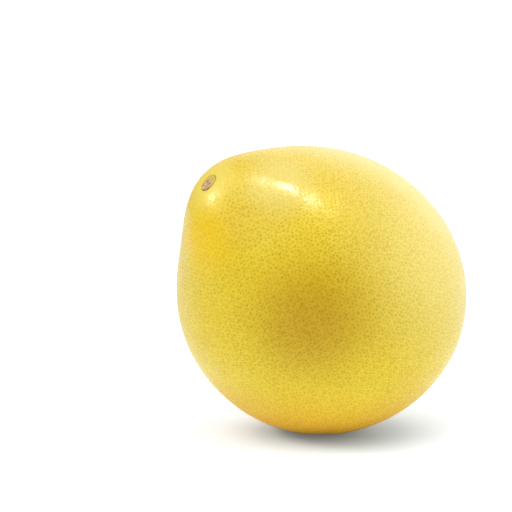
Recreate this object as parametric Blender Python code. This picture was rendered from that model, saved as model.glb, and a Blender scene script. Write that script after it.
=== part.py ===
# A pomelo: a large citrus fruit, round with a short blunt neck, lying tilted with its stem end raised.
# Lengths are in metres, angles in degrees, and +Z is up.
# The fruit is grown upright in a frame of its own, with its stem end at +Z. Then it is leaned over about Y,
# its weight is set above the origin, and a small flat spot is cut where it touches the surface it lies on.

import math

import bmesh
import bpy
from mathutils import Matrix, Vector

# Main form: a round body with a blunt neck, fuller at its stem half, a little flat at its poles
BODY_RADIUS = 0.0740
NECK_RISE = 0.0146
NECK_HALF_ANGLE = 21.8
NECK_BLUNTNESS = 2.07
STEM_HALF_FULLNESS = 0.00155
POLE_FLATNESS = 0.00047
SLOPE_FULLNESS = 0.00026
CORNER_FULLNESS = 0.00047

# Growth that isn't even all round: the amount, and the side it points to round the stem axis.
# Side 0 is the one that faces up once the fruit lies down, and side 90 is +Y.
OVAL = (0.0009, 95)
THREE_SIDED = (0.0010, 40)
SLANT = (0.0005, 129)

# The fuller shoulder beside the neck: height, angle from the stem end, side, spread
SHOULDER = (0.0044, 18.7, 38.7, 29.3)

# Stem end: a socket with a flat floor and a rounded lip, in a wide shallow dip
SOCKET_FLOOR_RADIUS = 0.0050
SOCKET_LIP_RADIUS = 0.0064
SOCKET_DEPTH = 0.0024
DIP_DEPTH = 0.0006
DIP_RADIUS = 0.0095

# Blossom end: a wide shallow basin round the small scar that the flower's style left
BASIN_DEPTH = 0.0014
BASIN_RADIUS = 0.0150
STYLE_SCAR_DEPTH = 0.0007
STYLE_SCAR_RADIUS = 0.0022

# Stem button: the calyx disc and the broken stub of the stem, dried in the socket
BUTTON_GAP = 0.0003
BUTTON_RADIUS = 0.0047
BUTTON_HEIGHT = 0.0026
CALYX_LOBES = 5
CALYX_NOTCH = 0.0004
STUB_RADIUS = 0.0025
PITH_RADIUS = 0.0009

# How the fruit lies
LEAN = 47.0
FLAT_DEPTH = 0.0008

# Mesh
SEGMENTS = 64
BODY_STEP = 5.0
BUTTON_SEGMENTS = 40

# Colours are linear red, green and blue
RIND_COLOUR = (0.87, 0.63, 0.05)
RIND_ROUGHNESS = 0.38
STEM_COLOUR = (0.50, 0.29, 0.14)
STEM_ROUGHNESS = 0.85


def clear_scene():
    """Removes every object that is in the scene."""
    for thing in list(bpy.data.objects):
        bpy.data.objects.remove(thing, do_unlink=True)


def make_material(name, colour, roughness):
    """A plain Principled material."""
    material = bpy.data.materials.new(name)
    material.use_nodes = True
    shader = material.node_tree.nodes["Principled BSDF"]
    shader.inputs["Base Color"].default_value = (*colour, 1.0)
    shader.inputs["Roughness"].default_value = roughness
    shader.inputs["Metallic"].default_value = 0.0
    material.diffuse_color = (*colour, 1.0)
    return material


def smooth_step(low, high, value):
    """0 up to low, 1 from high on, with a soft S between them."""
    t = min(1.0, max(0.0, (value - low) / (high - low)))
    return t * t * (3.0 - 2.0 * t)


def waves(amount_and_side, count, side):
    """Growth that swells count times on the way round the stem axis."""
    amount, centre = amount_and_side
    return amount * math.cos(count * (side - math.radians(centre)))


def swelling(form, direction):
    """A soft round swelling of the rind."""
    height, from_stem, side, spread = form
    tilt, turn = math.radians(from_stem), math.radians(side)
    centre = Vector((math.sin(tilt) * math.cos(turn), math.sin(tilt) * math.sin(turn), math.cos(tilt)))
    chord = (direction - centre).length
    return height * math.exp(-((chord / math.radians(spread)) ** 2))


def rind_radius(direction):
    """Distance from the middle of the fruit to its rind, along a unit direction."""
    polar = math.acos(max(-1.0, min(1.0, direction.z)))
    side = math.atan2(direction.y, direction.x)
    sine, cosine = math.sin(polar), math.cos(polar)
    radius = BODY_RADIUS
    radius += NECK_RISE * math.exp(-((polar / math.radians(NECK_HALF_ANGLE)) ** NECK_BLUNTNESS))
    radius += STEM_HALF_FULLNESS * cosine
    radius -= POLE_FLATNESS * math.cos(2.0 * polar)
    radius += SLOPE_FULLNESS * math.cos(3.0 * polar)
    radius -= CORNER_FULLNESS * math.cos(4.0 * polar)
    radius += sine**2 * waves(OVAL, 2, side)
    radius += sine**3 * waves(THREE_SIDED, 3, side)
    radius += sine * cosine * waves(SLANT, 1, side)
    radius += swelling(SHOULDER, direction)
    return radius


def socket_floor_height():
    """Height of the socket's floor on the stem axis, in the fruit's own frame."""
    return rind_radius(Vector((0.0, 0.0, 1.0))) - DIP_DEPTH - SOCKET_DEPTH


def rind_point(direction):
    """The point of the finished rind along a unit direction, with its stem and blossom ends."""
    point = direction * rind_radius(direction)
    off_axis = math.hypot(point.x, point.y)
    if direction.z > 0.0:
        point.z -= DIP_DEPTH * math.exp(-((off_axis / DIP_RADIUS) ** 2))
        inside = 1.0 - smooth_step(SOCKET_FLOOR_RADIUS, SOCKET_LIP_RADIUS, off_axis)
        point.z += (socket_floor_height() - point.z) * inside
    else:
        point.z += BASIN_DEPTH * math.exp(-((off_axis / BASIN_RADIUS) ** 2))
        point.z += STYLE_SCAR_DEPTH * math.exp(-((off_axis / STYLE_SCAR_RADIUS) ** 2))
    return point


def ring_angles():
    """Angles from the stem end of the rings of points: close at both ends, even along the body."""
    lip = SOCKET_LIP_RADIUS - SOCKET_FLOOR_RADIUS
    stem_rings = [0.0, SOCKET_FLOOR_RADIUS / 2]
    stem_rings += [SOCKET_FLOOR_RADIUS + lip * share for share in (0.0, 0.2, 0.4, 0.6, 0.8, 1.0)]
    stem_rings += [SOCKET_LIP_RADIUS + DIP_RADIUS * share for share in (0.15, 0.4, 0.7)]
    blossom_rings = [STYLE_SCAR_RADIUS * share for share in (0.0, 0.35, 0.7, 1.1, 1.7)]
    blossom_rings += [BASIN_RADIUS * share for share in (0.42, 0.68)]
    stem_radius = rind_radius(Vector((0.0, 0.0, 1.0)))
    blossom_radius = rind_radius(Vector((0.0, 0.0, -1.0)))
    start = [math.asin(distance / stem_radius) for distance in stem_rings]
    end = [math.pi - math.asin(distance / blossom_radius) for distance in reversed(blossom_rings)]
    body_steps = round((end[0] - start[-1]) / math.radians(BODY_STEP))
    step = (end[0] - start[-1]) / body_steps
    body = [start[-1] + step * number for number in range(1, body_steps)]
    return start + body + end


def spin_outline(bm, outline, segments):
    """Turns an outline of (distance from the axis, height) points into a closed body about Z."""
    verts = [bm.verts.new((distance, 0.0, height)) for distance, height in outline]
    edges = [bm.edges.new(pair) for pair in zip(verts, verts[1:])]
    bmesh.ops.spin(
        bm,
        geom=verts + edges,
        cent=(0.0, 0.0, 0.0),
        axis=(0.0, 0.0, 1.0),
        angle=2.0 * math.pi,
        steps=segments,
        use_merge=True,
    )
    bmesh.ops.remove_doubles(bm, verts=bm.verts[:], dist=1e-6)
    bmesh.ops.recalc_face_normals(bm, faces=bm.faces[:])


def weight_point(bm):
    """Centre of the volume that a closed mesh holds."""
    volume = 0.0
    moment = Vector((0.0, 0.0, 0.0))
    for face in bm.faces:
        first = face.verts[0].co
        for second, third in zip(face.verts[1:], face.verts[2:]):
            share = first.dot(second.co.cross(third.co)) / 6.0
            volume += share
            moment += share * (first + second.co + third.co) / 4.0
    return moment / volume


def cut_rest_spot(bm):
    """Cuts the mesh flat at height 0, where it meets the surface it lies on."""
    bmesh.ops.bisect_plane(
        bm,
        geom=bm.verts[:] + bm.edges[:] + bm.faces[:],
        dist=0.00005,
        plane_co=(0.0, 0.0, 0.0),
        plane_no=(0.0, 0.0, 1.0),
        clear_inner=True,
    )
    rim = [edge for edge in bm.edges if edge.is_boundary]
    bmesh.ops.edgeloop_fill(bm, edges=rim)
    for edge in rim:
        for vert in edge.verts:
            vert.co.z = 0.0
    bmesh.ops.recalc_face_normals(bm, faces=bm.faces[:])


def add_object(name, bm, material, sharp_angle):
    """Makes a named object from a mesh, shaded smooth except at its sharp edges."""
    mesh = bpy.data.meshes.new(name)
    bm.to_mesh(mesh)
    bm.free()
    mesh.materials.append(material)
    mesh.shade_smooth()
    mesh.set_sharp_from_angle(angle=math.radians(sharp_angle))
    thing = bpy.data.objects.new(name, mesh)
    bpy.context.scene.collection.objects.link(thing)
    return thing


def make_fruit(material, leaning):
    """The whole fruit, one grown body. Returns its object and where the middle of the fruit has come to."""
    bm = bmesh.new()
    spin_outline(bm, [(math.sin(angle), math.cos(angle)) for angle in ring_angles()], SEGMENTS)
    for vert in bm.verts:
        vert.co = rind_point(vert.co.normalized())
    bmesh.ops.transform(bm, matrix=leaning, verts=bm.verts[:])
    weight = weight_point(bm)
    lowest = min(vert.co.z for vert in bm.verts)
    middle = Vector((-weight.x, -weight.y, -lowest - FLAT_DEPTH))
    bmesh.ops.translate(bm, vec=middle, verts=bm.verts[:])
    cut_rest_spot(bm)
    return add_object("fruit", bm, material, 35), middle


def button_outline():
    """Half outline of the stem button, from the middle of its base round to the pith at its top."""
    calyx_top = 0.72 * BUTTON_HEIGHT
    return [
        (0.0, 0.0),
        (0.55 * BUTTON_RADIUS, 0.0),
        (0.90 * BUTTON_RADIUS, 0.0),
        (BUTTON_RADIUS, 0.16 * BUTTON_HEIGHT),
        (BUTTON_RADIUS, 0.46 * BUTTON_HEIGHT),
        (0.94 * BUTTON_RADIUS, 0.64 * BUTTON_HEIGHT),
        (0.84 * BUTTON_RADIUS, calyx_top),
        (0.68 * BUTTON_RADIUS, calyx_top),
        (1.12 * STUB_RADIUS, 0.66 * BUTTON_HEIGHT),
        (STUB_RADIUS, 0.84 * BUTTON_HEIGHT),
        (0.86 * STUB_RADIUS, 0.97 * BUTTON_HEIGHT),
        (0.62 * STUB_RADIUS, BUTTON_HEIGHT),
        (PITH_RADIUS, 0.93 * BUTTON_HEIGHT),
        (0.5 * PITH_RADIUS, 0.80 * BUTTON_HEIGHT),
        (0.0, 0.77 * BUTTON_HEIGHT),
    ]


def make_stem_button(material, leaning, middle):
    """The dried calyx disc with the broken stub of the stem on it, in the socket with a thin gap."""
    bm = bmesh.new()
    spin_outline(bm, button_outline(), BUTTON_SEGMENTS)
    for vert in bm.verts:
        off_axis = math.hypot(vert.co.x, vert.co.y)
        side = math.atan2(vert.co.y, vert.co.x)
        notch = CALYX_NOTCH * 0.5 * (1.0 - math.cos(CALYX_LOBES * side))
        outer = smooth_step(STUB_RADIUS, BUTTON_RADIUS, off_axis)
        shrink = 1.0 - outer * notch / BUTTON_RADIUS
        vert.co.x *= shrink
        vert.co.y *= shrink
    button = add_object("stem_button", bm, material, 40)
    height = socket_floor_height() + BUTTON_GAP
    button.matrix_world = Matrix.Translation(middle) @ leaning @ Matrix.Translation((0.0, 0.0, height))
    return button


def main():
    clear_scene()
    rind = make_material("rind", RIND_COLOUR, RIND_ROUGHNESS)
    dry_stem = make_material("dry_stem", STEM_COLOUR, STEM_ROUGHNESS)
    leaning = Matrix.Rotation(math.radians(-LEAN), 4, "Y")
    fruit, middle = make_fruit(rind, leaning)
    button = make_stem_button(dry_stem, leaning, middle)
    pomelo = bpy.data.objects.new("pomelo", None)
    bpy.context.scene.collection.objects.link(pomelo)
    for piece in (fruit, button):
        place = piece.matrix_world.copy()
        piece.parent = pomelo
        piece.matrix_world = place


main()
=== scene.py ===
import math

import bpy
import numpy as np
from mathutils import Matrix, Vector, kdtree, noise


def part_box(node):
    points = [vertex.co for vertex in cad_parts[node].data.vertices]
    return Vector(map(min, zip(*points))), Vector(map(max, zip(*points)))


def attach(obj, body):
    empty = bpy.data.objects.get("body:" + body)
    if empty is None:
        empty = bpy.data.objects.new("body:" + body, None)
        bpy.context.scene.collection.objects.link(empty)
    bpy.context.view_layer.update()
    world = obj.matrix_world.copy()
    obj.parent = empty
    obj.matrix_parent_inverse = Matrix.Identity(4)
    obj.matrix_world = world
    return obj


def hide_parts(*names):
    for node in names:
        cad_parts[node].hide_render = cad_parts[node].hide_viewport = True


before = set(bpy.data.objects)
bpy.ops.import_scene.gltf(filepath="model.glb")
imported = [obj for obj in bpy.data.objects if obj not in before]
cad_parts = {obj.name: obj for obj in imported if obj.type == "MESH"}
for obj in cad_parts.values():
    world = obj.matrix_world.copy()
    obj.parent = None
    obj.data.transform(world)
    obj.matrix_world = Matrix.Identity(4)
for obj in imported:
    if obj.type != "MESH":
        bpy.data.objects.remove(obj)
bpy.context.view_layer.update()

print("frame loaded:", sorted(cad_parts))

# A pomelo lying tilted on a pale studio floor. Metres and degrees throughout, +Z up.
# The rind is shaped upright, stem end at +Z, then leaned over and laid on its small flat spot.


# helpers for meshes

def deselectAll():
    if bpy.context.object and bpy.context.object.mode != "OBJECT":
        bpy.ops.object.mode_set(mode="OBJECT")
    bpy.ops.object.select_all(action="DESELECT")


def coordsOf(mesh):
    flat = np.zeros(len(mesh.vertices) * 3, np.float32)
    mesh.vertices.foreach_get("co", flat)
    return flat.reshape(-1, 3).astype(float)


def normalsOf(mesh):
    flat = np.zeros(len(mesh.vertices) * 3, np.float32)
    mesh.vertex_normals.foreach_get("vector", flat)
    return flat.reshape(-1, 3).astype(float)


def faceCentresOf(mesh):
    flat = np.zeros(len(mesh.polygons) * 3, np.float32)
    mesh.polygons.foreach_get("center", flat)
    return flat.reshape(-1, 3)


def setCoords(mesh, points):
    mesh.vertices.foreach_set("co", points.astype(np.float32).ravel())
    mesh.update()


def unit(vectors):
    return vectors / np.linalg.norm(vectors, axis=1)[:, None]


def directionAt(fromStem, side):  # unit vector at an angle from the stem and an angle round it
    tilt, turn = math.radians(fromStem), math.radians(side)
    return np.array([math.sin(tilt) * math.cos(turn), math.sin(tilt) * math.sin(turn), math.cos(tilt)])


def treeOf(places):  # finds the nearest of these places
    tree = kdtree.KDTree(len(places))
    for number, place in enumerate(places):
        tree.insert(place, number)
    tree.balance()
    return tree


def softStep(low, high, value):
    t = np.clip((value - low) / (high - low), 0, 1)
    return t * t * (3 - 2 * t)


def selectFaces(wanted):  # opens the active object in edit mode with only these faces selected
    mesh = bpy.context.object.data
    mesh.vertices.foreach_set("select", np.zeros(len(mesh.vertices), bool))
    mesh.edges.foreach_set("select", np.zeros(len(mesh.edges), bool))
    mesh.polygons.foreach_set("select", np.asarray(wanted, bool))
    bpy.context.tool_settings.mesh_select_mode = (False, False, True)
    bpy.ops.object.mode_set(mode="EDIT")


def subdivide(cuts, wanted=None):  # all over, or only the faces that are wanted
    mesh = bpy.context.object.data
    selectFaces(np.ones(len(mesh.polygons)) if wanted is None else wanted)
    bpy.ops.mesh.subdivide(number_cuts=cuts)
    bpy.ops.object.mode_set(mode="OBJECT")


# form of the fruit

fruitForm = {
    "bodyRadius": 0.0740,
    "neckRise": 0.0146, "neckHalfAngle": 21.8, "neckBluntness": 2.07,
    "stemHalfFullness": 0.00155, "poleFlatness": 0.00047,
    "slopeFullness": 0.00026, "cornerFullness": 0.00047,
    "oval": (0.0009, 95), "threeSided": (0.0010, 40), "slant": (0.0005, 129),  # amount, side
    "shoulder": (0.0044, 18.7, 38.7, 29.3),  # height, angle from the stem, side, spread
    "swelling": (0.0012, 27.8, -56.5, 8.0),  # the same four, of a low rise on the brow
    "socketFloorRadius": 0.0043, "socketLipRadius": 0.0051, "socketDepth": 0.0024,
    "dipDepth": 0.0006, "dipRadius": 0.0095,
    "basinDepth": 0.0014, "basinRadius": 0.0150,
    "styleScarDepth": 0.0007, "styleScarRadius": 0.0022,
    "lean": 47.0,
    "restBlend": 0.00025,  # how softly the flat spot runs into the round rind
}


def rindRadius(directions):
    f = fruitForm
    polar = np.arccos(np.clip(directions[:, 2], -1, 1))
    side = np.arctan2(directions[:, 1], directions[:, 0])
    sine, cosine = np.sin(polar), np.cos(polar)

    def waves(name, count):
        amount, centre = f[name]
        return amount * np.cos(count * (side - math.radians(centre)))

    neck = np.exp(-(polar / math.radians(f["neckHalfAngle"])) ** f["neckBluntness"])
    radius = f["bodyRadius"] + f["neckRise"] * neck
    radius += f["stemHalfFullness"] * cosine - f["poleFlatness"] * np.cos(2 * polar)
    radius += f["slopeFullness"] * np.cos(3 * polar) - f["cornerFullness"] * np.cos(4 * polar)
    radius += sine**2 * waves("oval", 2) + sine**3 * waves("threeSided", 3)
    radius += sine * cosine * waves("slant", 1)
    for height, fromStem, turn, spread in (f["shoulder"], f["swelling"]):
        chord = np.linalg.norm(directions - directionAt(fromStem, turn), axis=1)
        radius += height * np.exp(-((chord / math.radians(spread)) ** 2))
    return radius


def socketFloorHeight():
    stemTip = float(rindRadius(np.array([[0.0, 0.0, 1.0]]))[0])
    return stemTip - fruitForm["dipDepth"] - fruitForm["socketDepth"]


def rindPoints(directions):
    f = fruitForm
    points = directions * rindRadius(directions)[:, None]
    offAxis = np.hypot(points[:, 0], points[:, 1])
    stemHalf = points[:, 2] > 0
    dip = f["dipDepth"] * np.exp(-((offAxis / f["dipRadius"]) ** 2))
    basin = f["basinDepth"] * np.exp(-((offAxis / f["basinRadius"]) ** 2))
    basin += f["styleScarDepth"] * np.exp(-((offAxis / f["styleScarRadius"]) ** 2))
    points[:, 2] += np.where(stemHalf, -dip, basin)
    inside = 1 - softStep(f["socketFloorRadius"], f["socketLipRadius"], offAxis)
    points[:, 2] += (socketFloorHeight() - points[:, 2]) * np.where(stemHalf, inside, 0)
    return points


leaning = np.array(Matrix.Rotation(math.radians(-fruitForm["lean"]), 3, "Y"))


def findMiddle():  # where the fruit's middle lies, from the top corner of its solid
    bpy.ops.mesh.primitive_ico_sphere_add(subdivisions=6, radius=1)
    probe = bpy.context.object
    leaned = rindPoints(unit(coordsOf(probe.data))) @ leaning.T
    bpy.data.objects.remove(probe)
    return np.array(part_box("fruit")[1]) - leaned.max(0)


deselectAll()
middle = findMiddle()


def placed(points):
    return np.asarray(points, float) @ leaning.T + middle


blossomTip = placed(rindPoints(np.array([[0.0, 0.0, -1.0]])))[0]
print("middle of the fruit at", [round(v * 1000, 2) for v in middle], "mm")


# rind, with a small pit at every oil gland

rindMesh = {
    "glandCuts": 44,         # 10 * 45 * 45 + 2 = 20,252 glands, about 2 mm apart
    "glandScatter": 0.30,    # how far a gland strays, as a share of their distance
    "pitDepth": (0.00008, 0.00022), "pitRadius": 0.00045,
    "wideWaves": (0.00022, 0.030), "fineWaves": (0.00008, 0.009),  # height, width
    "stemPatch": 0.0135, "blossomPatch": 0.0080,  # how far the finer mesh reaches
    "seed": 7,
}


def wavesOver(points, height, width):
    return height * np.array([noise.noise(Vector(p / width)) for p in points])


def scatterGlands(mesh):  # each point of the even mesh is a gland, which strays a little
    r = rindMesh
    glands = unit(coordsOf(mesh))
    rng = np.random.default_rng(r["seed"])
    spacing = math.sqrt(4 * math.pi / len(glands) * 2 / math.sqrt(3))  # on a ball of radius 1
    angle = rng.uniform(0, 2 * math.pi, len(glands))
    reach = np.sqrt(rng.uniform(0, 1, len(glands)))
    askew = np.roll(glands, 1, axis=1) + [0.1, 0.2, 0.3]  # any direction but the gland's own
    across = unit(np.cross(glands, askew))
    up = np.cross(glands, across)
    stray = across * np.cos(angle)[:, None] + up * np.sin(angle)[:, None]
    glands = unit(glands + stray * (reach * spacing * r["glandScatter"])[:, None])
    setCoords(mesh, glands)
    return glands, rng.uniform(0, 1, (len(glands), 3))


def refineEnds(mesh):  # finer faces round the stem socket and the blossom scar
    r = rindMesh
    centres = rindPoints(unit(faceCentresOf(mesh).astype(float)))
    offAxis = np.hypot(centres[:, 0], centres[:, 1])
    near = np.where(centres[:, 2] > 0, offAxis < r["stemPatch"], offAxis < r["blossomPatch"])
    subdivide(2, near)
    selectFaces(np.ones(len(mesh.polygons)))
    bpy.ops.mesh.quads_convert_to_tris()
    bpy.ops.object.mode_set(mode="OBJECT")


def shapeRind(mesh, glandPoints, glandLook):  # rounds it out, with its pits, and lays it on the flat spot
    r, f = rindMesh, fruitForm
    points = rindPoints(unit(coordsOf(mesh)))
    setCoords(mesh, points)
    normals = normalsOf(mesh)
    tree = treeOf(glandPoints)
    found = [tree.find(point)[1:] for point in points]
    nearest = np.array([hit[0] for hit in found])
    distance = np.array([hit[1] for hit in found])
    fromSocket = np.where(points[:, 2] > 0, np.hypot(points[:, 0], points[:, 1]), 1)
    shallow, deep = r["pitDepth"]
    depth = shallow + (deep - shallow) * glandLook[nearest, 0]
    depth = depth * softStep(f["socketLipRadius"], r["stemPatch"], fromSocket)  # none in the socket
    lift = wavesOver(points, *r["wideWaves"]) + wavesOver(points, *r["fineWaves"])
    lift = lift * softStep(f["socketFloorRadius"], r["stemPatch"], fromSocket)
    lift = lift - depth * np.exp(-((distance / r["pitRadius"]) ** 2))
    points = placed(points + normals * lift[:, None])
    blend, height = f["restBlend"], points[:, 2]
    softEdge = (height + blend) ** 2 / (4 * blend)
    points[:, 2] = np.where(height > blend, height, np.where(height < -blend, 0, softEdge))
    setCoords(mesh, points)
    return points


def noteGlands(mesh, points, glandPlaces, glandLook):
    # each face knows its own gland, so the dots come out round
    tree = treeOf(glandPlaces)
    faceGland = np.array([tree.find(centre)[1] for centre in faceCentresOf(mesh)])
    corners = np.zeros(len(mesh.loops), np.int32)
    mesh.loops.foreach_get("vertex_index", corners)
    fromGland = (points[corners] - glandPlaces[np.repeat(faceGland, 3)]) * 1000  # mm
    attribute = mesh.attributes.new("fromGland", "FLOAT_VECTOR", "CORNER")
    attribute.data.foreach_set("vector", fromGland.astype(np.float32).ravel())
    attribute = mesh.attributes.new("glandLook", "FLOAT_VECTOR", "FACE")
    attribute.data.foreach_set("vector", glandLook[faceGland].astype(np.float32).ravel())


def makeRind():
    deselectAll()
    bpy.ops.mesh.primitive_ico_sphere_add(subdivisions=1, radius=1)
    rind = bpy.context.object
    rind.name = "pomeloRind"
    mesh = rind.data
    subdivide(rindMesh["glandCuts"])
    glands, glandLook = scatterGlands(mesh)
    subdivide(1)
    refineEnds(mesh)
    glandPoints = rindPoints(glands)
    points = shapeRind(mesh, glandPoints, glandLook)
    bpy.ops.object.shade_smooth()
    noteGlands(mesh, points, placed(glandPoints), glandLook)
    print("rind:", len(glands), "glands,", len(mesh.polygons), "faces")
    return rind


rind = makeRind()


# stem button: dried calyx disc with the broken stub of the stem

buttonForm = {
    "gap": 0.0003, "radius": 0.0047, "height": 0.0026,
    "calyxShare": 0.72,  # height of the calyx disc as a share of the whole
    "stubRadius": 0.0025,
    # steps over its top from the rim inwards, each by how far in and how far up. Those of the calyx
    # go in by a share of the disc's width and end in the groove round the stub
    "calyxSteps": ((0.10, 0.00008), (0.16, 0.00004), (0.18, -0.00002),
                   (0.18, -0.00005), (0.18, -0.00012), (0.14, -0.00010)),
    "stubSteps": ((0.00008, 0.00036), (0.00012, 0.00034), (0.00024, 0.00022), (0.00036, 0.00004)),
    "pithSteps": ((0.00030, -0.00012), (0.00030, -0.00018), (0.00026, -0.00016), (0.00026, -0.00008)),
    "lobes": 5, "notch": 0.0004,
    "fibres": 17, "fibreDepth": 0.00012, "fibreWander": 3, "fibreReach": (0.0006, 0.0016),
    "grainHeight": 0.00016, "grainScale": 900,
    "roughFrom": 0.3,  # the share of its height above which it is rough
    "overTop": 0.0001,  # how far the roughness may stand over its height
    "sides": 90, "sharpAngle": 50,
}


def makeStemButton():
    b = buttonForm
    deselectAll()
    calyxHeight = b["height"] * b["calyxShare"]
    bpy.ops.mesh.primitive_cylinder_add(vertices=b["sides"], radius=b["radius"], depth=calyxHeight,
                                        location=(0, 0, calyxHeight / 2), end_fill_type="NGON")
    button = bpy.context.object
    button.name = "stemButton"
    bpy.ops.object.transform_apply(location=True, rotation=False, scale=False)
    mesh = button.data
    selectFaces([polygon.normal.z > 0.9 for polygon in mesh.polygons])  # its top
    calyxWidth = b["radius"] - b["stubRadius"]
    for share, rise in b["calyxSteps"]:
        bpy.ops.mesh.inset(thickness=calyxWidth * share, depth=rise)
    for width, rise in b["stubSteps"] + b["pithSteps"]:
        bpy.ops.mesh.inset(thickness=width, depth=rise)
    bpy.ops.mesh.poke()
    bpy.ops.mesh.select_all(action="SELECT")
    bpy.ops.mesh.quads_convert_to_tris()
    bpy.ops.object.mode_set(mode="OBJECT")

    points = coordsOf(mesh)
    offAxis = np.hypot(points[:, 0], points[:, 1])
    side = np.arctan2(points[:, 1], points[:, 0])
    outer = softStep(b["stubRadius"], b["radius"], offAxis)
    notch = b["notch"] * 0.5 * (1 - np.cos(b["lobes"] * side)) * outer / b["radius"]
    points[:, :2] *= (1 - notch)[:, None]
    upper = points[:, 2] > b["height"] * b["roughFrom"]
    wobble = np.array([noise.noise(Vector(p * b["grainScale"])) for p in points])
    fibre = np.cos(b["fibres"] * side + b["fibreWander"] * wobble) * softStep(*b["fibreReach"], offAxis)
    relief = fibre * b["fibreDepth"] + b["grainHeight"] * wobble
    points[:, 2] += np.where(upper, relief - b["grainHeight"] * 0.5, 0)
    points[:, 2] = np.minimum(points[:, 2], b["height"] + b["overTop"])
    upright = points + [0, 0, socketFloorHeight() + b["gap"]]
    setCoords(mesh, placed(upright))
    bpy.ops.object.shade_smooth_by_angle(angle=math.radians(b["sharpAngle"]))
    print("stem button:", len(mesh.polygons), "faces")
    return button


stemButton = makeStemButton()


# material node helpers

def newMaterial(name):
    material = bpy.data.materials.new(name)
    material.use_nodes = True
    return material, material.node_tree, material.node_tree.nodes["Principled BSDF"]


def addNode(tree, kind, **settings):
    node = tree.nodes.new(kind)
    for name, value in settings.items():
        setattr(node, name, value)
    return node


def feed(tree, node, **values):  # in0, in1 and so on are sockets by their number
    for name, value in values.items():
        numbered = name.startswith("in") and name[2:].isdigit()
        socket = node.inputs[int(name[2:]) if numbered else name]
        if isinstance(value, bpy.types.NodeSocket):
            tree.links.new(value, socket)
        else:
            socket.default_value = value
    return node


def mathNode(tree, operation, first, second=0.0, third=0.0):
    node = addNode(tree, "ShaderNodeMath", operation=operation)
    feed(tree, node, in0=first, in1=second, in2=third)
    return node.outputs[0]


def rangeNode(tree, value, low, high, newLow=0.0, newHigh=1.0, smooth=True):
    node = addNode(tree, "ShaderNodeMapRange", interpolation_type="SMOOTHSTEP" if smooth else "LINEAR")
    feed(tree, node, in0=value, in1=low, in2=high, in3=newLow, in4=newHigh)
    return node.outputs[0]


def mixColour(tree, share, first, second, blend="MIX"):
    node = addNode(tree, "ShaderNodeMix", data_type="RGBA", blend_type=blend)
    feed(tree, node, in0=share, in6=first, in7=second)
    return node.outputs[2]


def objectCoords(tree):
    return addNode(tree, "ShaderNodeTexCoord").outputs["Object"]


def buildGroup(name, inputs, outputs):
    group = bpy.data.node_groups.new(name, "ShaderNodeTree")
    for socketName, kind, value in inputs:
        socket = group.interface.new_socket(socketName, in_out="INPUT", socket_type=kind)
        socket.default_value = value
    for socketName, kind in outputs:
        group.interface.new_socket(socketName, in_out="OUTPUT", socket_type=kind)
    return group, group.nodes.new("NodeGroupInput"), group.nodes.new("NodeGroupOutput")


def useGroup(tree, group, **values):
    return feed(tree, addNode(tree, "ShaderNodeGroup", node_tree=group), **values).outputs


def bumpNormal(tree, height, look):
    bump = addNode(tree, "ShaderNodeBump")
    feed(tree, bump, Strength=look["bumpStrength"], Distance=look["bumpDistance"], Height=height)
    return bump.outputs["Normal"]


def makeMottleGroup():  # soft uneven tone, from 0 to 1
    group, start, end = buildGroup(
        "Mottle",
        [("Vector", "NodeSocketVector", (0, 0, 0)), ("Width", "NodeSocketFloat", 0.02),
         ("Contrast", "NodeSocketFloat", 1.0)],
        [("Tone", "NodeSocketFloat")],
    )
    scale = mathNode(group, "DIVIDE", 1.0, start.outputs["Width"])
    clouds = addNode(group, "ShaderNodeTexNoise")
    feed(group, clouds, Vector=start.outputs["Vector"], Scale=scale, Detail=3.0, Roughness=0.55)
    centred = mathNode(group, "SUBTRACT", clouds.outputs["Fac"], 0.5)
    spread = mathNode(group, "MULTIPLY", centred, start.outputs["Contrast"])
    tone = addNode(group, "ShaderNodeMath", operation="ADD", use_clamp=True)
    feed(group, tone, in0=spread, in1=0.5)
    group.links.new(tone.outputs[0], end.inputs["Tone"])
    return group


def makeSpotGroup():  # 1 at a place on the fruit, fading to 0 at a distance from it
    group, start, end = buildGroup(
        "Spot",
        [("Vector", "NodeSocketVector", (0, 0, 0)), ("Centre", "NodeSocketVector", (0, 0, 0)),
         ("Full", "NodeSocketFloat", 0.0), ("Gone", "NodeSocketFloat", 0.01)],
        [("Mask", "NodeSocketFloat")],
    )
    away = addNode(group, "ShaderNodeVectorMath", operation="DISTANCE")
    feed(group, away, in0=start.outputs["Vector"], in1=start.outputs["Centre"])
    mask = rangeNode(group, away.outputs["Value"], start.outputs["Full"], start.outputs["Gone"], 1.0, 0.0)
    group.links.new(mask, end.inputs["Mask"])
    return group


mottleGroup = makeMottleGroup()
spotGroup = makeSpotGroup()


def mottle(tree, place, width, contrast):
    return useGroup(tree, mottleGroup, Vector=place, Width=width, Contrast=contrast)["Tone"]


def spot(tree, place, centre, full, gone):
    return useGroup(tree, spotGroup, Vector=place, Centre=centre, Full=full, Gone=gone)["Mask"]


# rind finish

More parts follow.
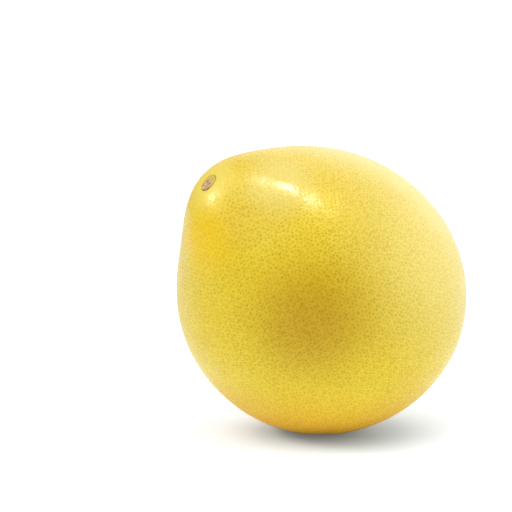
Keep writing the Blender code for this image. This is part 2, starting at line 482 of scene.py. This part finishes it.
# a Reach or an Edge says where a thing is full and where it is gone
rindLook = {
    "lemon": (0.76, 0.585, 0.038, 1), "golden": (0.76, 0.54, 0.026, 1), "ochre": (0.62, 0.40, 0.010, 1),
    "wideTone": (0.045, 2.2), "patchTone": (0.011, 1.8),  # width, contrast
    "ochreShare": 0.25,
    "glandTint": (0.66, 0.56, 0.06, 1), "glandSize": (0.70, 1.10),  # mm
    "glandStrength": (0.36, 0.82),
    "glandEdge": (0.15, 1.15),  # as a share of the dot's own size
    "smallGlandWidth": 0.0015, "smallGlandStray": 0.9,
    "smallGlandStrength": 0.50, "smallGlandEdge": (0.08, 0.48),
    "scarColour": (0.20, 0.10, 0.03, 1), "scarReach": (0.0008, 0.0032),
    "roughness": 0.29, "patchRoughness": 0.08, "baseRoughness": 0.36,  # the last two come on top
    "ior": 1.45, "glossTint": (1.0, 0.86, 0.32, 1),
    "grainScale": 900.0, "grainDetail": 2.0, "grainHeight": 0.35,
    "bumpStrength": 0.6, "bumpDistance": 0.0002,
    "wax": (0.05, 1.0),  # how thick it is elsewhere and on the neck
    "waxAt": (19.5, -76), "waxReach": (0.018, 0.036), "coatRoughness": 0.17,
    "waxWorn": 0.8,  # the share of it that a gland dot takes off
    "waxGrain": (0.42, 0.58), "waxLeft": 0.45,  # the grain thins it down to this share
}

# patches on the skin, some of them painted light and shade as marked: angle from the stem, side, where it
# is full and where it is gone, how strong, and how much of the gland dots they hide
rindPatches = {
    # painted sheen: the paler top stands in for the white tent's light and reflection on it
    "paleCrown": {"at": (62, 0), "full": 0.010, "gone": 0.075, "strength": 0.7, "hide": 0.4,
                  "colour": (0.80, 0.66, 0.230, 1)},
    # painted sheen: the paler right side stands in for the white tent's reflection at that rim
    "paleSide": {"at": (94, -52), "full": 0.012, "gone": 0.078, "strength": 0.7, "hide": 0.4,
                 "colour": (0.80, 0.66, 0.220, 1)},
    # painted highlight: a pale haze round the glossy highlight on the brow, veiling the dots there
    "paleBrow": {"at": (24, -54), "full": 0.005, "gone": 0.027, "strength": 0.6, "hide": 0.6,
                 "colour": (0.79, 0.66, 0.220, 1)},
    "goldenFlank": {"at": (18, -160), "full": 0.004, "gone": 0.028, "strength": 0.7, "hide": 0.4,
                    "colour": (0.84, 0.53, 0.006, 1)},
    # painted shade: the darker ochre middle, where the rind faces the dim camera side of the tent
    "ochreCheek": {"at": (65.5, -115), "full": 0.004, "gone": 0.047, "strength": 0.9, "hide": 0.0,
                   "colour": (0.56, 0.325, 0.012, 1)},
    # painted bounce light: the warmer orange underside, as lit from the white floor below
    "warmBase": {"at": (133, 180), "full": 0.020, "gone": 0.080, "strength": 0.95, "hide": 0.1,
                 "colour": (0.96, 0.46, 0.002, 1)},
    "paleStem": {"at": (0, 0), "full": 0.006, "gone": 0.022, "strength": 0.8, "hide": 0.8,
                 "colour": (0.84, 0.66, 0.130, 1)},
}


def onRind(fromStem, side):  # the point of the rind at these two angles
    return placed(rindPoints(directionAt(fromStem, side)[None]))[0]


def glandDots(tree, place, look):  # a dot over each oil gland, each with its own size and strength
    offset = addNode(tree, "ShaderNodeAttribute", attribute_name="fromGland")
    glandLook = addNode(tree, "ShaderNodeAttribute", attribute_name="glandLook")
    split = feed(tree, addNode(tree, "ShaderNodeSeparateXYZ"), in0=glandLook.outputs["Vector"])
    away = addNode(tree, "ShaderNodeVectorMath", operation="LENGTH")
    feed(tree, away, in0=offset.outputs["Vector"])
    size = rangeNode(tree, split.outputs["Y"], 0.0, 1.0, *look["glandSize"], smooth=False)
    near = mathNode(tree, "DIVIDE", away.outputs["Value"], size)
    dot = rangeNode(tree, near, *look["glandEdge"], 1.0, 0.0)
    strength = rangeNode(tree, split.outputs["X"], 0.0, 1.0, *look["glandStrength"], smooth=False)
    cells = addNode(tree, "ShaderNodeTexVoronoi")  # smaller glands that lie between the others
    feed(tree, cells, Vector=place, Scale=1 / look["smallGlandWidth"], Randomness=look["smallGlandStray"])
    small = rangeNode(tree, cells.outputs["Distance"], *look["smallGlandEdge"],
                      look["smallGlandStrength"], 0.0)
    return mathNode(tree, "MAXIMUM", mathNode(tree, "MULTIPLY", dot, strength), small)


def waxCover(tree, place, look, dot, grain):  # thicker on the neck, worn at the glands, and grainy
    neck = spot(tree, place, onRind(*look["waxAt"]), *look["waxReach"])
    wax = rangeNode(tree, neck, 0.0, 1.0, *look["wax"], smooth=False)
    wax = mathNode(tree, "MULTIPLY", wax, mathNode(tree, "MULTIPLY_ADD", dot, -look["waxWorn"], 1.0))
    return mathNode(tree, "MULTIPLY", wax, rangeNode(tree, grain, *look["waxGrain"], look["waxLeft"], 1.0))


def rindMaterial():
    look = rindLook
    material, tree, shader = newMaterial("rindWax")
    place = objectCoords(tree)
    wide = mottle(tree, place, *look["wideTone"])
    patches = mottle(tree, place, *look["patchTone"])
    skin = mixColour(tree, wide, look["lemon"], look["golden"])
    skin = mixColour(tree, mathNode(tree, "MULTIPLY", patches, look["ochreShare"]), skin, look["ochre"])
    shown = 1.0  # how much of the gland dots shows
    masks = {}
    for name, patch in rindPatches.items():
        mask = spot(tree, place, onRind(*patch["at"]), patch["full"], patch["gone"])
        masks[name] = mask
        skin = mixColour(tree, mathNode(tree, "MULTIPLY", mask, patch["strength"]), skin, patch["colour"])
        shown = mathNode(tree, "MULTIPLY", mathNode(tree, "MULTIPLY_ADD", mask, -patch["hide"], 1.0), shown)
    dot = glandDots(tree, place, look)
    dotMask = mathNode(tree, "MULTIPLY", dot, shown)
    skin = mixColour(tree, dotMask, skin, look["glandTint"], blend="MULTIPLY")
    scar = spot(tree, place, blossomTip, *look["scarReach"])
    skin = mixColour(tree, scar, skin, look["scarColour"])

    bumpHeight = mathNode(tree, "MULTIPLY", dotMask, -1.0)
    noiseNode = addNode(tree, "ShaderNodeTexNoise")
    feed(tree, noiseNode, Vector=place, Scale=look["grainScale"], Detail=look["grainDetail"])
    grain = noiseNode.outputs["Fac"]
    bumpHeight = mathNode(tree, "MULTIPLY_ADD", grain, look["grainHeight"], bumpHeight)
    normal = bumpNormal(tree, bumpHeight, look)
    wax = waxCover(tree, place, look, dot, grain)
    rough = mathNode(tree, "MULTIPLY_ADD", patches, look["patchRoughness"], look["roughness"])
    rough = mathNode(tree, "MULTIPLY_ADD", masks["warmBase"], look["baseRoughness"], rough)  # matt below
    feed(tree, shader, **{"Base Color": skin, "Roughness": rough, "Normal": normal,
                          "Coat Weight": wax, "Coat Roughness": look["coatRoughness"],
                          "IOR": look["ior"], "Specular Tint": look["glossTint"]})
    return material


# dry stem finish

stemLook = {
    "tan": (0.66, 0.45, 0.19, 1), "pink": (0.74, 0.51, 0.29, 1), "brown": (0.20, 0.10, 0.04, 1),
    "broadTone": (0.0022, 3.0), "fineTone": (0.0006, 3.5),  # width, contrast
    "calyx": (0.66, 0.50, 0.06, 1),  # the outer ring, still the colour of the skin
    "scarMiddle": (-0.0012, -0.0004), "scarReach": (0.0032, 0.0048),
    "markWidth": 0.0022, "markReach": (0.32, 0.60), "markStrength": 0.8,
    "crackTones": (0.70, 1.0), "crackStrength": 0.6,  # the fine tones where they begin and are darkest
    "roughness": 0.8, "toneRoughness": 0.1,
    "bumpStrength": 0.6, "bumpDistance": 0.0002,
}


def stemMaterial():
    look = stemLook
    material, tree, shader = newMaterial("dryStem")
    place = objectCoords(tree)
    broad = mottle(tree, place, *look["broadTone"])
    fine = mottle(tree, place, *look["fineTone"])
    wood = mixColour(tree, broad, look["pink"], look["tan"])
    marks = feed(tree, addNode(tree, "ShaderNodeTexVoronoi"), Vector=place, Scale=1 / look["markWidth"])
    dark = rangeNode(tree, marks.outputs["Distance"], *look["markReach"], look["markStrength"], 0.0)
    cracks = rangeNode(tree, fine, *look["crackTones"], 0.0, look["crackStrength"])
    wood = mixColour(tree, mathNode(tree, "MAXIMUM", cracks, dark), wood, look["brown"])
    scarTop = placed([[*look["scarMiddle"], socketFloorHeight() + buttonForm["height"]]])[0]
    scar = spot(tree, place, scarTop, *look["scarReach"])
    wood = mixColour(tree, scar, look["calyx"], wood)
    normal = bumpNormal(tree, fine, look)
    rough = mathNode(tree, "MULTIPLY_ADD", broad, look["toneRoughness"], look["roughness"])
    feed(tree, shader, **{"Base Color": wood, "Roughness": rough, "Normal": normal})
    return material


rind.data.materials.append(rindMaterial())
stemButton.data.materials.append(stemMaterial())
print("materials made")

for piece, node, slotName in ((rind, "fruit", "rind"), (stemButton, "stem_button", "dry_stem")):
    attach(piece, "root")
    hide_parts(node)


# floor, light and camera

studio = {
    "azimuth": -29.75, "elevation": 10.5, "distance": 1.48, "lens": 201.0, "clip": (0.05, 60),
    "fruitPixel": (323.6, 292.9), "framePixels": 512,  # where the fruit's middle shows in the frame
    "floorSize": 30.0, "floorRoughness": 0.9, "floorColour": (0.84, 0.88, 0.94, 1),
    "shadeColour": (0.57, 0.74, 1.00, 1),  # painted shadow: darker and cooler beside the fruit, which throws its own yellow there
    # the floor glows evenly a little, and more in a ring round the fruit: a painted pool of light that
    # keeps the shadow close to the contact
    "floorGlow": 0.12, "paintedRingGlow": 0.30, "glowColour": (0.62, 0.78, 1.0, 1),
    # each side of the ring: how far from its middle the side begins and ends; inside it lies the painted
    # shadow
    "ringMiddle": (0.010, -0.006, 0), "ringInside": (0.022, 0.065), "ringOutside": (0.11, 0.20),
}

# soft round panels of the light tent: turn from the camera to the right, height, both in degrees,
# the angles from its middle where it is full and where it is gone, and its brightness
lightPanels = {
    "softboxFront": (15, 77.2, 1, 5, 15.0),
    "softboxNear": (16, 81.4, 1, 5, 27.0),
    "softboxMiddle": (18, 85.6, 1, 5, 27.0),
    "softboxTop": (90, 89.8, 1, 5, 17.0),
    "leftSoftbox": (271, 31, 3, 10, 14.0),
    "frontLeft": (300, 45, 0, 55, 1.21),
    "frontRight": (60, 45, 0, 55, 1.01),
    "overBack": (160, 45, 0, 55, 0.48),
    "rightWall": (90, 10, 0, 50, 1.08),
    "backWall": (165, 10, 0, 50, 0.97),
    "backCorner": (135, 10, 0, 50, 0.4),
}


def viewAxes(azimuth, elevation):
    a, e = math.radians(azimuth), math.radians(elevation)
    back = Vector((math.sin(a) * math.cos(e), -math.cos(a) * math.cos(e), math.sin(e)))
    right = Vector((math.cos(a), math.sin(a), 0))
    return right, back.cross(right), back


def makeCamera():
    s = studio
    right, up, back = viewAxes(s["azimuth"], s["elevation"])
    data = bpy.data.cameras.new("camera")
    data.lens = s["lens"]
    camera = bpy.data.objects.new("camera", data)
    bpy.context.scene.collection.objects.link(camera)
    camera.location = Vector(middle) + back * s["distance"]
    perPixel = data.sensor_width / s["lens"] / s["framePixels"]
    aside = (s["fruitPixel"][0] - s["framePixels"] / 2) * perPixel
    below = (s["fruitPixel"][1] - s["framePixels"] / 2) * perPixel
    forward = -back - right * aside + up * below
    camera.rotation_mode = "QUATERNION"
    camera.rotation_quaternion = forward.to_track_quat("-Z", "Y")
    data.clip_start, data.clip_end = s["clip"]
    bpy.context.scene.camera = camera


def makeFloor():
    s = studio
    deselectAll()
    bpy.ops.mesh.primitive_plane_add(size=s["floorSize"])
    floor = bpy.context.object
    floor.name = "floor"
    material, tree, shader = newMaterial("paleFloor")
    place = objectCoords(tree)
    # inside the ring lies the painted shadow round the contact: no ring glow, and a darker, cooler floor
    # colour
    inside = spot(tree, place, s["ringMiddle"], *s["ringInside"])
    outside = spot(tree, place, s["ringMiddle"], *s["ringOutside"])
    # painted pool of light: extra glow in a ring round the fruit, none in its middle
    ring = mathNode(tree, "MULTIPLY", outside, mathNode(tree, "SUBTRACT", 1.0, inside))
    glow = mathNode(tree, "MULTIPLY_ADD", ring, s["paintedRingGlow"], s["floorGlow"])
    floorWithPaintedShadow = mixColour(tree, inside, s["floorColour"], s["shadeColour"])
    feed(tree, shader, **{"Base Color": floorWithPaintedShadow, "Roughness": s["floorRoughness"],
                          "Emission Color": s["glowColour"], "Emission Strength": glow})
    floor.data.materials.append(material)


def makeWorld(panels):  # the white light tent round the fruit
    world = bpy.data.worlds.new("tent")
    bpy.context.scene.world = world
    world.use_nodes = True
    tree = world.node_tree
    direction = addNode(tree, "ShaderNodeTexCoord").outputs["Generated"]
    right, _, back = viewAxes(studio["azimuth"], 0)
    total = 0.0
    for turn, height, full, gone, level in panels.values():
        a, e = math.radians(turn), math.radians(height)
        aim = (back * math.cos(a) + right * math.sin(a)) * math.cos(e) + Vector((0, 0, 1)) * math.sin(e)
        facing = addNode(tree, "ShaderNodeVectorMath", operation="DOT_PRODUCT")
        feed(tree, facing, in0=direction, in1=aim)
        edges = math.cos(math.radians(gone)), math.cos(math.radians(full))
        mask = rangeNode(tree, facing.outputs["Value"], *edges)
        total = mathNode(tree, "MULTIPLY_ADD", mask, level, total)
    seen = addNode(tree, "ShaderNodeLightPath").outputs["Is Camera Ray"]  # the tent itself looks white
    strength = mathNode(tree, "MAXIMUM", total, seen)
    feed(tree, tree.nodes["Background"], Color=(1, 1, 1, 1), Strength=strength)


makeCamera()
makeFloor()
makeWorld(lightPanels)
bpy.context.scene.view_settings.view_transform = "Standard"
print("studio set")
